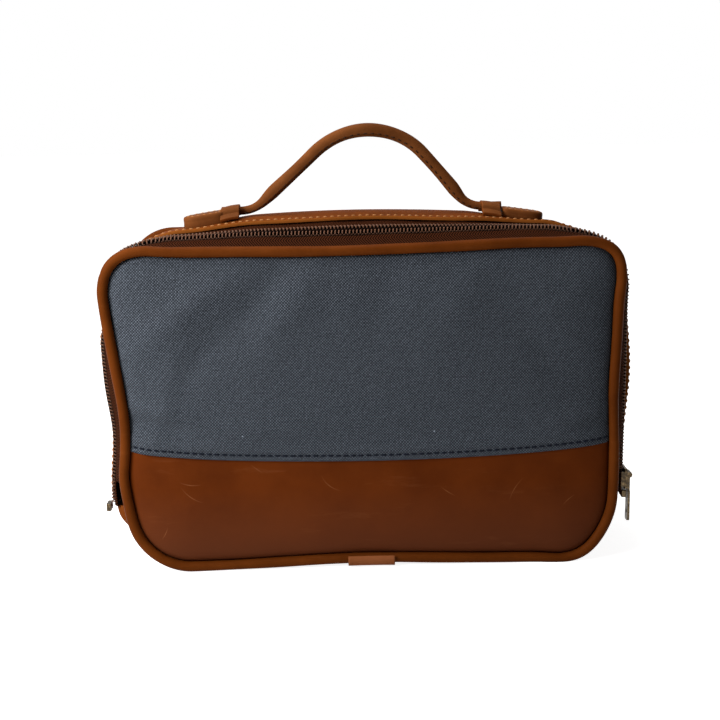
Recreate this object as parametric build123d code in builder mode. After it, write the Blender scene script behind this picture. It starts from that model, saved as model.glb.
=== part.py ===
"""A zip-round toiletry bag in leather and canvas, standing on its base.

The front panel is a lid. It turns down about its lower seam once the coil zip that runs up one
side, over the top and down the other has been opened. Lengths are in millimetres. X runs to the
right, -Y is the front, +Z is up, and the origin is the middle of the base on the table.
"""

from build123d import *
from math import cos, pi, radians, sin, sqrt, tan
import os

# Seam lines of the front and back panels, measured along the middle of the piping
seam_width = 252.0
seam_height = 163.0
seam_depth = 88.0
top_corner = 23.0
bottom_corner = 32.0
piping_radius = 2.6

# Gusset, the wall between the two seams
gusset_bulge = 11.0
leather_thickness = 1.8
lining_thickness = 0.6
layer_gap = 0.1
run_gap = 0.3
band_front = -17.0
lining_front = -14.0
lining_back_inset = 6.0
lining_depth = 2.8

# Zip, drawn as two rows of teeth on two tapes
zip_line = -30.0
zip_land = 5.4
land_half_width = 5.5
tape_thickness = 0.6
tape_slit = 1.0
tape_tuck = 7.0
coil_width = 3.0
coil_thickness = 2.4
tooth_length = 1.8
tooth_overlap = 1.2
tooth_pitch = 1.8
notch_share = 0.9
zip_end_teeth = 7
zip_stop_size = (4.0, 7.0, 2.2)
zip_stop_drop = 4.6

# Panels
panel_edge = 0.6
shoulder_inset = 12.0
shoulder_rise = 3.4
crown_inset = 34.0
crown_rise = 6.0
crown_corner = 8.0
canvas_thickness = 0.9
underskin_thickness = 1.6
hem_height = 57.0
hem_lap = 8.0
board_inset = 6.0
board_thickness = 1.2
foam_back = 3.5
binding_inset = 3.2
binding_thickness = 2.5
binding_depth = 5.4
base_board_thickness = 1.5
base_board_inset = 38.0
join_wrap_width = 24.0
join_wrap_shift = 5.0
join_wrap_thickness = 0.7
join_wrap_from = 105.0
join_wrap_sweep = 115.0

# Handle
handle_radius = 3.3
handle_core_radius = 2.1
handle_rise = 39.5
handle_slope = 45.0
handle_crest_radius = 40.0
handle_foot_radius = 20.0
keeper_length = 9.0
keeper_floor = 1.2
keeper_wall = 1.8
keeper_splay = 1.6
tab_length = 20.0
tab_width = 14.0
tab_height = 4.5
tab_gap = 0.8

# Slider and puller
slider_length = 11.0
slider_nose_flare = 0.8
slider_corner = 1.5
shield_thickness = 1.2
flange_thickness = 0.8
pin_radius = 0.6
pin_clearance = 0.2
eye_radius = 1.6
eye_width = 3.2
ear_gap = 0.2
ear_thickness = 0.9
ear_length = 3.0
puller_length = 22.0
puller_width = 5.0
puller_thickness = 1.2
puller_hole = 1.2

# Places worked out from the sizes above
half_width = seam_width / 2
half_depth = seam_depth / 2
seam_bottom = piping_radius
seam_top = seam_bottom + seam_height
side_top = seam_top - top_corner
side_foot = seam_bottom + bottom_corner
wall_front = -(half_depth - piping_radius - run_gap)
wall_back = half_depth - piping_radius - layer_gap
wall_radius = (half_depth**2 + gusset_bulge**2) / (2 * gusset_bulge)
hem_level = seam_bottom + hem_height
zip_foot = side_foot + layer_gap
side_pitch = (side_top - zip_foot) / round((side_top - zip_foot) / tooth_pitch)
lid_zip_foot = zip_foot + zip_end_teeth * side_pitch
panel_inset = piping_radius + layer_gap
coil_reach = tooth_length - tooth_overlap / 2 + coil_width
band_top = seam_top + gusset_bulge
foot_level = band_top + keeper_floor + run_gap + handle_radius
bore_radius = handle_radius + run_gap

LEFT = (-1, 0, 0)
RIGHT = (1, 0, 0)
UP = (0, 0, 1)
DOWN = (0, 0, -1)
TURN = (0, 1, 0)

os.makedirs("parts", exist_ok=True)


def save(builder, name):
    """Labels a finished piece and writes it under its name."""
    builder.part.label = name
    export_step(builder.part, f"parts/{name}.step")


# Sections of the gusset's layers, drawn with x running back and y running outwards


def wall_point(y, depth):
    """Returns the point at y on the gusset's arc, sunk by a depth below its outer face."""
    radius = wall_radius - depth
    return (y, sqrt(radius**2 - y**2) - (wall_radius - gusset_bulge))


def wall_section(front, back, depth, thickness):
    """Returns a curved strip of the gusset between two arcs with one centre."""
    middle = (front + back) / 2
    with BuildSketch() as section:
        with BuildLine():
            outer = ThreePointArc(*[wall_point(y, depth) for y in (front, middle, back)])
            inner = ThreePointArc(*[wall_point(y, depth + thickness) for y in (front, middle, back)])
            Line(outer @ 0, inner @ 0)
            Line(outer @ 1, inner @ 1)
        make_face()
    return section.sketch


def strip_section(points, thickness):
    """Returns a strip that hangs a thickness below a line of points."""
    under = [(y, n - thickness) for y, n in reversed(points)]
    with BuildSketch() as section:
        with BuildLine():
            Polyline(*points, *under, close=True)
        make_face()
    return section.sketch


def flat_section(front, back, low, high):
    """Returns a plain rectangle."""
    with BuildSketch() as section:
        with Locations(((front + back) / 2, (low + high) / 2)):
            Rectangle(back - front, high - low)
    return section.sketch


# Ways along the seam, clockwise as seen from the front


def wall_plane(x, z, out):
    """Returns a section plane: its x runs back and its y runs outwards."""
    return Plane(origin=(x, 0, z), x_dir=TURN, z_dir=Vector(TURN).cross(Vector(out)))


def run(section, x, z, out, length):
    """Extrudes a section straight along the seam."""
    with BuildSketch(wall_plane(x, z, out)) as placed:
        add(section)
    extrude(placed.sketch, amount=length)


def turn(section, x, z, out, centre):
    """Turns a section a quarter round a corner of the seam."""
    with BuildSketch(wall_plane(x, z, out)) as placed:
        add(section)
    revolve(placed.sketch, axis=Axis((centre[0], 0, centre[1]), TURN), revolution_arc=90)


def over_the_top(section, foot):
    """Takes a section up the left side from a height, over the top and down the right side."""
    span = seam_width - 2 * top_corner
    crest = half_width - top_corner
    run(section, -half_width, foot, LEFT, side_top - foot)
    turn(section, -half_width, side_top, LEFT, (-crest, side_top))
    run(section, -crest, seam_top, UP, span)
    turn(section, crest, seam_top, UP, (crest, side_top))
    run(section, half_width, side_top, RIGHT, side_top - foot)


def under_the_base(section):
    """Takes a section round both lower corners and along the bottom."""
    crest = half_width - bottom_corner
    turn(section, half_width, side_foot, RIGHT, (crest, side_foot))
    run(section, crest, seam_bottom, DOWN, seam_width - 2 * bottom_corner)
    turn(section, -crest, seam_bottom, DOWN, (-crest, side_foot))


# Gusset leather


def corner_section(share, front, back, depth, thickness):
    """Returns a section part of the way from the domed side wall to the flat base."""
    height = cos(radians(90) * share) ** 2
    flat = piping_radius * (1 - height)
    places = (front, (front + back) / 2, back)
    outer_points = [(y, wall_point(y, depth)[1] * height + (flat - depth * (1 - height))) for y in places]
    inner_points = [(y, n - thickness) for y, n in outer_points]
    with BuildSketch() as section:
        with BuildLine():
            if share < 1:
                outer = ThreePointArc(*outer_points)
                inner = ThreePointArc(*inner_points)
            else:
                outer = Line(outer_points[0], outer_points[-1])
                inner = Line(inner_points[0], inner_points[-1])
            Line(outer @ 0, inner @ 0)
            Line(outer @ 1, inner @ 1)
        make_face()
    return section.sketch


def lower_corner(side, front, back, depth, thickness, steps=4):
    """Lofts the wall round a lower corner while it flattens from the side's dome to the base."""
    sketches = []
    for step in range(steps + 1):
        share = step / steps
        angle = radians(90) * share
        out = (side * cos(angle), 0, -sin(angle))
        x = side * (half_width - bottom_corner + bottom_corner * cos(angle))
        z = side_foot - bottom_corner * sin(angle)
        plane = wall_plane(x, z, out)
        with BuildSketch(plane) as placed:
            add(corner_section(share, front, back, depth, thickness))
        sketches.append(placed.sketch)
    loft(sketches)


with BuildPart() as gusset_band:
    over_the_top(wall_section(band_front, wall_back, 0, leather_thickness), zip_foot)
save(gusset_band, "gusset_band")

with BuildPart() as bottom_gusset:
    with BuildSketch(Plane.XY):
        with Locations((0, (wall_front + wall_back) / 2)):
            Rectangle(seam_width - 2 * bottom_corner, wall_back - wall_front)
    extrude(amount=leather_thickness)
save(bottom_gusset, "bottom_gusset")

for name, side in (("gusset_corner_left", -1), ("gusset_corner_right", 1)):
    with BuildPart() as gusset_corner:
        lower_corner(side, wall_front, wall_back, 0, leather_thickness)
    save(gusset_corner, name)

with BuildPart() as gusset_lining:
    lining_back = half_depth - lining_back_inset
    over_the_top(wall_section(lining_front, lining_back, lining_depth, lining_thickness), zip_foot)
save(gusset_lining, "gusset_lining")

for name, side in (("corner_lining_left", -1), ("corner_lining_right", 1)):
    with BuildPart() as corner_lining:
        lower_corner(side, -lining_back, lining_back, lining_depth, lining_thickness)
    save(corner_lining, name)

base_half_length = half_width - base_board_inset
with BuildPart() as base_board:
    with BuildSketch(Plane.XY.offset(leather_thickness + layer_gap)):
        RectangleRounded(2 * base_half_length, 2 * (half_depth - board_inset), crown_corner)
    extrude(amount=base_board_thickness)
save(base_board, "base_board")

base_lining_level = leather_thickness + base_board_thickness + 2 * layer_gap
with BuildPart() as base_lining:
    with BuildSketch(Plane.XY.offset(base_lining_level)):
        Rectangle(seam_width - 2 * bottom_corner, 2 * (half_depth - board_inset))
    extrude(amount=lining_thickness)
save(base_lining, "base_lining")

# Piping round both seams, and the leather wrap that hides where its ends meet

with BuildSketch() as cord_section:
    Circle(piping_radius)

with BuildPart() as ring_of_piping:
    over_the_top(cord_section.sketch, side_foot)
    under_the_base(cord_section.sketch)

with BuildPart() as front_piping:
    with Locations((0, -half_depth, 0)):
        add(ring_of_piping.part)
save(front_piping, "front_piping")

with BuildPart() as back_piping:
    with Locations((0, half_depth, 0)):
        add(ring_of_piping.part)
save(back_piping, "back_piping")

wrap_outer = piping_radius + layer_gap / 2 + join_wrap_thickness
with BuildPart() as front_piping_wrap:
    wrap_plane = Plane(origin=(join_wrap_shift - join_wrap_width / 2, -half_depth, seam_bottom),
                       x_dir=TURN, z_dir=RIGHT)
    with BuildSketch(wrap_plane):
        with BuildLine():
            inner_arc = CenterArc((0, 0), wrap_outer - join_wrap_thickness, join_wrap_from, join_wrap_sweep)
            outer_arc = CenterArc((0, 0), wrap_outer, join_wrap_from, join_wrap_sweep)
            Line(inner_arc @ 0, outer_arc @ 0)
            Line(inner_arc @ 1, outer_arc @ 1)
        make_face()
    extrude(amount=join_wrap_width)
save(front_piping_wrap, "front_piping_wrap")

# Zip tapes and the coil's teeth

land_front = zip_line - land_half_width
land_back = zip_line + land_half_width
lid_tape_line = [(wall_front, zip_land / 4), (land_front, zip_land), (zip_line - tape_slit, zip_land)]
body_tape_line = [
    (zip_line + tape_slit, zip_land),
    (land_back, zip_land),
    wall_point((band_front + land_back) / 2, lining_depth),
    wall_point(band_front + tape_tuck / 2, leather_thickness + layer_gap),
    wall_point(band_front + tape_tuck, leather_thickness + layer_gap),
]


def teeth_outline(length, pitch, side):
    """Returns one row of teeth on a straight run: x runs along the zip and y runs back.

    The row on the lid has side -1 and starts at a root, and the other starts at a tip, so the
    two interlock half a pitch apart.
    """
    root = zip_line + side * (tooth_length - tooth_overlap / 2)
    tip = zip_line - side * tooth_overlap / 2
    edge = root + side * coil_width
    first, second = (root, tip) if side < 0 else (tip, root)
    count = round(length / pitch)
    zigzag = [(step * length / (2 * count), second if step % 2 else first) for step in range(2 * count + 1)]
    with BuildSketch() as outline:
        with BuildLine():
            Polyline((0, edge), *zigzag, (length, edge), close=True)
        make_face()
    return outline.sketch


def coil_run(x, z, out, along, length, pitch, side):
    """Extrudes a straight run of teeth on the zip's land."""
    foot = Vector(x, 0, z) + Vector(out) * (zip_land + layer_gap / 2)
    with BuildSketch(Plane(origin=foot, x_dir=along, z_dir=out)) as placed:
        add(teeth_outline(length, pitch, side))
    extrude(placed.sketch, amount=coil_thickness)


def coil_turn(x, z, out, centre, start, side):
    """Turns a strip round a top corner and cuts the gaps between its teeth."""
    root = zip_line + side * (tooth_length - tooth_overlap / 2)
    tip = zip_line - side * tooth_overlap / 2
    edge = root + side * coil_width
    low = zip_land + layer_gap / 2
    strip = flat_section(min(edge, tip), max(edge, tip), low, low + coil_thickness)
    turn(strip, x, z, out, centre)
    inner_radius = top_corner + low
    count = round(pi / 2 * (inner_radius + coil_thickness / 2) / tooth_pitch)
    mouth = notch_share * pi / 2 * inner_radius / count
    reach = tip - side * tooth_length / 2
    half_mouth = mouth / 2 * (reach - root) / (tip - root)
    with BuildPart() as notch:
        with BuildSketch(Plane(origin=(-inner_radius + coil_thickness / 4, 0, 0), x_dir=UP, z_dir=LEFT)):
            with BuildLine():
                Polyline((0, root), (half_mouth, reach), (-half_mouth, reach), close=True)
            make_face()
        extrude(amount=1.5 * coil_thickness)
    offset_share = 0 if side < 0 else 0.5
    places = range(count + 1) if side < 0 else range(count)
    turns = [start + 90 * (place + offset_share) / count for place in places]
    notches = [notch.part.moved(Location((centre[0], 0, centre[1]), (0, angle, 0))) for angle in turns]
    add(notches, mode=Mode.SUBTRACT)


def coil_row(side, foot):
    """Carries one row of teeth up the left side, over the top and down the right side."""
    crest = half_width - top_corner
    rise = side_top - foot
    coil_turn(-half_width, side_top, LEFT, (-crest, side_top), 0, side)
    coil_turn(crest, seam_top, UP, (crest, side_top), 90, side)
    coil_run(-half_width, foot, LEFT, UP, rise, side_pitch, side)
    coil_run(-crest, seam_top, UP, RIGHT, 2 * crest, tooth_pitch, side)
    coil_run(half_width, side_top, RIGHT, DOWN, rise, side_pitch, side)


with BuildPart() as zip_tape_lid:
    over_the_top(strip_section(lid_tape_line, tape_thickness), lid_zip_foot)
save(zip_tape_lid, "zip_tape_lid")

with BuildPart() as zip_tape_body:
    over_the_top(strip_section(body_tape_line, tape_thickness), zip_foot)
save(zip_tape_body, "zip_tape_body")

with BuildPart() as zip_coil_lid:
    coil_row(-1, lid_zip_foot)
save(zip_coil_lid, "zip_coil_lid")

with BuildPart() as zip_coil_body:
    coil_row(1, zip_foot)
save(zip_coil_body, "zip_coil_body")

# The last stretch of the lid's tape at each end stays sewn to the bag
end_length = lid_zip_foot - zip_foot
for name, x, start, out, along in (
    ("zip_end_left", -half_width, zip_foot, LEFT, UP),
    ("zip_end_right", half_width, lid_zip_foot, RIGHT, DOWN),
):
    with BuildPart() as zip_end:
        run(strip_section(lid_tape_line, tape_thickness), x, start, out, end_length)
        coil_foot = Vector(x, 0, start) + Vector(out) * zip_land
        with BuildSketch(Plane(origin=coil_foot, x_dir=along, z_dir=out)):
            add(teeth_outline(end_length, side_pitch, -1))
        extrude(amount=coil_thickness)
        split(bisect_by=Plane.XY.offset(lid_zip_foot - run_gap), keep=Keep.BOTTOM)
    save(zip_end, name)

for name, side in (("zip_stop_left", -1), ("zip_stop_right", 1)):
    with BuildPart() as zip_stop:
        height, width, thickness = zip_stop_size
        seat = wall_point(zip_line + width / 2, 0)[1] + layer_gap
        stop_x = side * (half_width + seat + thickness / 2)
        with Locations((stop_x, zip_line, side_foot - zip_stop_drop + height / 2)):
            Box(thickness, width, height)
        fillet(zip_stop.edges().filter_by(Axis.X), tape_thickness)
    save(zip_stop, name)

# Panels: skins over foam, a stiffening board and a lining, with the seam bound inside


def panel_outline(inset):
    """Returns the outline of a panel, drawn in from the seam, with x across and y up."""
    side = half_width - inset
    low = seam_bottom + inset
    high = seam_top - inset
    lower = max(bottom_corner - inset, crown_corner)
    upper = max(top_corner - inset, crown_corner)
    with BuildSketch() as outline:
        with BuildLine():
            FilletPolyline((-side, low), (-side, high), (side, high), (side, low),
                           radius=[lower, upper, upper, lower], close=True)
        make_face()
    return outline.sketch


def slab(inset, depth, thickness):
    """Extrudes a panel outline forwards, its back face a depth behind the front seam."""
    with BuildSketch(Plane.XZ.offset(half_depth - depth)) as placed:
        add(panel_outline(inset))
    extrude(placed.sketch, amount=thickness)


def crowned_form(sink):
    """Returns the front panel's crowned form, sunk by a depth, filled to behind its board."""
    edge = half_depth + panel_edge - sink
    back = half_depth - foam_back
    rings = ((panel_inset, 0), (shoulder_inset, shoulder_rise), (crown_inset, crown_rise))
    with BuildPart() as form:
        with BuildSketch(Plane.XZ.offset(back)) as foot:
            add(panel_outline(panel_inset))
        extrude(foot.sketch, amount=edge - back)
        layers = []
        for inset, rise in rings:
            with BuildSketch(Plane.XZ.offset(edge + rise)) as layer:
                add(panel_outline(inset))
            layers.append(layer.sketch)
        loft(layers, ruled=True)
    return form.part


outer_form = crowned_form(0)
middle_form = crowned_form(canvas_thickness)
inner_form = crowned_form(canvas_thickness + underskin_thickness)
foam_form = crowned_form(canvas_thickness + underskin_thickness + layer_gap)

with BuildPart() as front_canvas:
    add(outer_form)
    add(middle_form, mode=Mode.SUBTRACT)
    split(bisect_by=Plane.XY.offset(hem_level), keep=Keep.TOP)
save(front_canvas, "front_canvas")

with BuildPart() as front_leather:
    add(middle_form)
    add(inner_form, mode=Mode.SUBTRACT)
    split(bisect_by=Plane.XY.offset(hem_level + hem_lap), keep=Keep.BOTTOM)
save(front_leather, "front_leather")

with BuildPart() as front_interlining:
    add(middle_form)
    add(inner_form, mode=Mode.SUBTRACT)
    split(bisect_by=Plane.XY.offset(hem_level + hem_lap + layer_gap), keep=Keep.TOP)
save(front_interlining, "front_interlining")

with BuildPart() as front_foam:
    slab(board_inset, foam_back, foam_back + crown_rise)
    add(foam_form, mode=Mode.INTERSECT)
save(front_foam, "front_foam")

with BuildPart() as front_board:
    slab(board_inset, foam_back + layer_gap + board_thickness, board_thickness)
save(front_board, "front_board")

with BuildPart() as front_lining:
    slab(board_inset, foam_back + 2 * layer_gap + board_thickness + lining_thickness, lining_thickness)
save(front_lining, "front_lining")

binding_back = canvas_thickness + underskin_thickness - panel_edge + layer_gap + binding_depth
with BuildPart() as front_binding:
    slab(binding_inset, binding_back, binding_depth)
    with BuildSketch(Plane.XZ.offset(half_depth - binding_back)) as hollow:
        add(panel_outline(binding_inset + binding_thickness))
    extrude(hollow.sketch, amount=binding_depth, mode=Mode.SUBTRACT)
save(front_binding, "front_binding")

for name, front_piece in (
    ("back_canvas", front_canvas),
    ("back_leather", front_leather),
    ("back_interlining", front_interlining),
    ("back_foam", front_foam),
    ("back_board", front_board),
    ("back_lining", front_lining),
    ("back_binding", front_binding),
):
    with BuildPart() as back_piece:
        mirror(front_piece.part, about=Plane.XZ)
    save(back_piece, name)

# Handle: a rolled leather grip round a core, its ends turning in two keepers on the band

slope = radians(handle_slope)
foot_turn = (handle_rise + handle_crest_radius * (1 / cos(slope) - 1)) / tan(slope)
keeper_start = foot_turn + handle_foot_radius * tan(slope / 2) + run_gap
keeper_end = keeper_start + keeper_length
grip_end = keeper_end - run_gap


def handle_path():
    """Returns the line of the handle: flat feet, sloping legs and a round crest."""
    with BuildLine(Plane.XZ) as path:
        FilletPolyline(
            (-grip_end, foot_level),
            (-foot_turn, foot_level),
            (0, foot_level + foot_turn * tan(slope)),
            (foot_turn, foot_level),
            (grip_end, foot_level),
            radius=[handle_foot_radius, handle_crest_radius, handle_foot_radius],
        )
    return path.wire()


grip_line = handle_path()
end_plane = Plane(origin=(-grip_end, 0, foot_level), x_dir=TURN, z_dir=RIGHT)
with BuildPart() as handle_grip:
    with BuildSketch(end_plane) as grip_ring:
        Circle(handle_radius)
        Circle(handle_core_radius + layer_gap, mode=Mode.SUBTRACT)
    sweep(grip_ring.sketch, path=grip_line)
save(handle_grip, "handle_grip")

with BuildPart() as handle_core:
    with BuildSketch(end_plane) as core_disc:
        Circle(handle_core_radius)
    sweep(core_disc.sketch, path=grip_line)
save(handle_core, "handle_core")

band_centre = seam_top + gusset_bulge - wall_radius
for name, side in (("handle_keeper_left", -1), ("handle_keeper_right", 1)):
    with BuildPart() as keeper:
        start = side * (keeper_start + keeper_end) / 2 - keeper_length / 2
        reach = bore_radius + keeper_wall
        with BuildSketch(Plane(origin=(start, 0, 0), x_dir=TURN, z_dir=RIGHT)):
            with Locations((0, foot_level)):
                Circle(reach)
            with BuildLine():
                Polyline((-reach, foot_level), (reach, foot_level), (reach + keeper_splay, band_top - keeper_wall),
                         (-reach - keeper_splay, band_top - keeper_wall), close=True)
            make_face()
            with Locations((0, foot_level)):
                Circle(bore_radius, mode=Mode.SUBTRACT)
            with Locations((0, band_centre)):
                Circle(wall_radius + layer_gap / 2, mode=Mode.SUBTRACT)
        extrude(amount=keeper_length)
    save(keeper, name)

for name, side in (("handle_tab_left", -1), ("handle_tab_right", 1)):
    with BuildPart() as tab:
        near = keeper_end + tab_gap
        far = near + tab_length
        with BuildSketch(Plane.XY.offset(band_top - keeper_wall)):
            with Locations((side * (near + far - tab_width / 2) / 2, 0)):
                Rectangle(tab_length - tab_width / 2, tab_width)
            with Locations((side * (far - tab_width / 2), 0)):
                Circle(tab_width / 2)
        extrude(amount=tab_height + keeper_wall)
        with BuildSketch(Plane(origin=(side * (near + far) / 2 - tab_length, 0, 0), x_dir=TURN, z_dir=RIGHT)):
            with Locations((0, band_centre)):
                Circle(wall_radius + layer_gap / 2)
        extrude(amount=2 * tab_length, mode=Mode.SUBTRACT)
        fillet(tab.faces().sort_by(Axis.Z)[-1].edges(), leather_thickness / 2)
    save(tab, name)

# Slider and puller, parked at the zip's right-hand foot

slider_foot = zip_foot + run_gap
slider_middle = slider_foot + slider_length / 2
shield_seat = half_width + zip_land + layer_gap / 2 + coil_thickness + run_gap
shield_top = shield_seat + shield_thickness
flange_foot = half_width + zip_land + run_gap
pin_x = shield_top + ear_gap + eye_radius
pin_z = slider_middle + ear_length / 2


def shield_plane(x):
    """Returns a plane along the zip: its x runs back and its y runs up."""
    return Plane(origin=(x, zip_line, slider_middle), x_dir=TURN, z_dir=RIGHT)


def shield_outline():
    """Returns the slider's plate, wider at its nose than at its tail."""
    tail = coil_reach + run_gap + flange_thickness
    nose = tail + slider_nose_flare / 2
    half_length = slider_length / 2
    with BuildSketch() as outline:
        with BuildLine():
            Polyline((-nose, -half_length), (nose, -half_length), (tail, half_length), (-tail, half_length),
                     close=True)
        make_face()
        fillet(outline.vertices(), slider_corner)
    return outline.sketch


flange_middle = coil_reach + run_gap + flange_thickness / 2
ear_middle = eye_width / 2 + ear_gap + ear_thickness / 2
with BuildPart() as zip_slider:
    with BuildSketch(shield_plane(shield_seat)):
        add(shield_outline())
    extrude(amount=shield_thickness)
    with BuildSketch(shield_plane(flange_foot)):
        with Locations((-flange_middle, 0), (flange_middle, 0)):
            Rectangle(flange_thickness, slider_length - 2 * slider_corner)
    extrude(amount=shield_seat - flange_foot)
    with BuildSketch(Plane(origin=(0, zip_line, 0), x_dir=RIGHT, z_dir=(0, -1, 0))):
        with Locations((shield_top + (pin_x - shield_top) / 2, pin_z)):
            Rectangle(pin_x - shield_top, ear_length)
        with Locations((pin_x, pin_z)):
            Circle(ear_length / 2)
    extrude(amount=ear_middle + ear_thickness / 2, both=True)
    with BuildSketch(Plane(origin=(0, zip_line, 0), x_dir=RIGHT, z_dir=(0, -1, 0))):
        with Locations((shield_top + ear_length, pin_z)):
            Rectangle(2 * ear_length, 3 * ear_length)
    extrude(amount=ear_middle - ear_thickness / 2, both=True, mode=Mode.SUBTRACT)
    with BuildSketch(Plane(origin=(0, zip_line, 0), x_dir=RIGHT, z_dir=(0, -1, 0))):
        with Locations((pin_x, pin_z)):
            Circle(pin_radius)
    extrude(amount=ear_middle, both=True)
    with BuildSketch(shield_plane(half_width + zip_land - tape_thickness - run_gap - shield_thickness)):
        add(shield_outline())
    extrude(amount=shield_thickness)
save(zip_slider, "zip_slider")

with BuildPart() as zip_puller:
    with BuildSketch(Plane(origin=(0, zip_line, 0), x_dir=RIGHT, z_dir=(0, -1, 0))):
        with Locations((pin_x, pin_z)):
            Circle(eye_radius)
        with Locations((pin_x, pin_z - eye_radius)):
            Rectangle(puller_thickness, 2 * eye_radius)
        with Locations((pin_x, pin_z)):
            Circle(pin_radius + pin_clearance, mode=Mode.SUBTRACT)
    extrude(amount=eye_width / 2, both=True)
    tab_top = pin_z - slider_length / 2 - ear_length
    with BuildSketch(Plane(origin=(pin_x - puller_thickness / 2, zip_line, 0), x_dir=TURN, z_dir=RIGHT)):
        with Locations((0, (pin_z - eye_radius + tab_top) / 2)):
            Rectangle(eye_width, pin_z - eye_radius - tab_top)
        with Locations((0, tab_top - (puller_length - puller_width) / 2)):
            RectangleRounded(puller_width, puller_length - puller_width, slider_corner)
        with Locations((0, tab_top - puller_length + 2 * puller_width)):
            Circle(puller_hole, mode=Mode.SUBTRACT)
    extrude(amount=puller_thickness)
save(zip_puller, "zip_puller")
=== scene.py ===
"""Looks of a zip-round toiletry bag in leather and canvas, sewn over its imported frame.

Lengths are in metres. X runs to the right, -Y is the front and +Z is up. The bag's wall follows
its seam, a rectangle with round corners, so most pieces are worked out from a length s along the
seam, a place y between the front and the back, and a distance n outside the seam.
"""

from math import cos, pi, radians, sin

import bmesh
import bpy
import numpy as np
from mathutils import Matrix, Vector


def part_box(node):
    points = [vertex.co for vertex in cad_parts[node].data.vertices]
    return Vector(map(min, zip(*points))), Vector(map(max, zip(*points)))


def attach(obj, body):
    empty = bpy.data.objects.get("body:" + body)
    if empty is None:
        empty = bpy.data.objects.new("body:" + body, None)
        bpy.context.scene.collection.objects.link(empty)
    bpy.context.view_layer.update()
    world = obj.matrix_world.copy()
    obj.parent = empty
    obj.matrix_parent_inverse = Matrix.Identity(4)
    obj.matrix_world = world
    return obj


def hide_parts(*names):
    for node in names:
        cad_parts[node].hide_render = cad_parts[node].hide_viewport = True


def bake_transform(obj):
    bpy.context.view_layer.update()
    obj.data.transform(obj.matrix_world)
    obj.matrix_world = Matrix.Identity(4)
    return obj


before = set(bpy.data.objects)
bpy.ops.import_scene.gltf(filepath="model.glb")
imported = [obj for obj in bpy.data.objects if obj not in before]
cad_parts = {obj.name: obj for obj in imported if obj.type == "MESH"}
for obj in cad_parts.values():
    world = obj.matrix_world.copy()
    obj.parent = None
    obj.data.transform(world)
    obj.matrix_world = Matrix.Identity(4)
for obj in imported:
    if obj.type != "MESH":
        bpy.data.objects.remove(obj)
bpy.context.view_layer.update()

# Places read from the frame
piping_low, piping_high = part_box("front_piping")
piping_radius = (piping_high.y - piping_low.y) / 2
half_width = piping_high.x - piping_radius
front = piping_low.y + piping_radius
back = -front
seam_top = piping_high.z - piping_radius
seam_bottom = piping_low.z + piping_radius
band_low, band_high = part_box("gusset_band")
side_foot = band_low.z
band_front, band_back = band_low.y, band_high.y
bulge = band_high.z - seam_top
wall_radius = (back**2 + bulge**2) / (2 * bulge)
base_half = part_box("bottom_gusset")[1].x
bottom_corner = half_width - base_half
lid_tape_low, lid_tape_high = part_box("zip_tape_lid")
lid_zip_foot = lid_tape_low.z
zip_land = lid_tape_high.x - half_width
slider_low, slider_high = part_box("zip_slider")
zip_line = (slider_low.y + slider_high.y) / 2
hem_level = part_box("front_canvas")[0].z
grip_low, grip_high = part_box("handle_grip")

# Sizes that the frame's boxes don't show
top_corner = 0.023
grip_radius = 0.0033
foot_level = grip_low.z + grip_radius

# Thicknesses
leather = 0.0018
canvas = 0.0009
lining = 0.0006
pad_cloth = 0.0030
floor_cloth = 0.0020
tape = 0.0006
wrap_thickness = 0.0006

# Panels
panel_inset = 0.0014
pad_inset = 0.0055
groove = 0.0024
groove_depth = 0.0032
crown = 0.0064
crown_reach = 0.014
hem_width = 0.0092
hem_lap = 0.0075
hem_rise = 0.0052
hem_stitch_inset = 0.0030
pucker_gain = 2.4

# Wall and zip
wall_front = front + 0.0029
wall_back = back - 0.0022
lining_front = front + 0.006
lining_back = back - 0.006
lining_depth = 0.0030
edge_stitch_inset = 0.0017
tooth_reach = 0.0044
sewing_reach = 0.0046

# Pitches of stitches and teeth
hem_pitch = 0.0038
edge_pitch = 0.0036
grip_pitch = 0.0036
tab_pitch = 0.0032
tooth_pitch = 0.0018


# Shapes


def smooth(value, low, high):
    """An S curve that is 0 at low and 1 at high."""
    share = np.clip((value - low) / (high - low), 0, 1)
    return share * share * (3 - 2 * share)


def hump(value, middle, reach):
    """A bell curve: 1 at the middle, and 0.37 at a reach from it."""
    return np.exp(-(((value - middle) / reach) ** 2))


def unit(vectors):
    """Vectors scaled to a length of 1."""
    return vectors / np.linalg.norm(vectors, axis=-1, keepdims=True)


def running_length(points):
    """The length along a line of points, 0 at its first."""
    return np.concatenate([[0], np.cumsum(np.linalg.norm(np.diff(points, axis=0), axis=1))])


def lengths_along(start, stop, spacing):
    """Even lengths from start to stop."""
    return np.linspace(start, stop, int(np.ceil((stop - start) / spacing)) + 1)


def seam_knots():
    """Lengths along the seam where its straights and corners meet, with the corner's centre, its
    radius and the outward direction at each.

    Length 0 is the middle of the bottom, and it grows clockwise as seen from the front. Between
    two knots all four change linearly, so a point is the centre plus the radius along the
    outward direction.
    """
    low, high = seam_bottom + bottom_corner, seam_top - top_corner
    crest = half_width - top_corner
    quarter_low, quarter_high = bottom_corner * pi / 2, top_corner * pi / 2
    spans = [base_half, quarter_low, high - low, quarter_high, 2 * crest,
             quarter_high, high - low, quarter_low, base_half]
    lengths = np.concatenate([[0], np.cumsum(spans)])
    centre_x = np.array([0, -base_half, -base_half, -crest, -crest, crest, crest, base_half, base_half, 0])
    centre_z = np.array([low, low, low, high, high, high, high, low, low, low])
    radius = np.array([bottom_corner] * 3 + [top_corner] * 4 + [bottom_corner] * 3)
    outward = -pi / 2 * np.array([1, 1, 2, 2, 3, 3, 4, 4, 5, 5])
    return lengths, centre_x, centre_z, radius, outward


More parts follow.
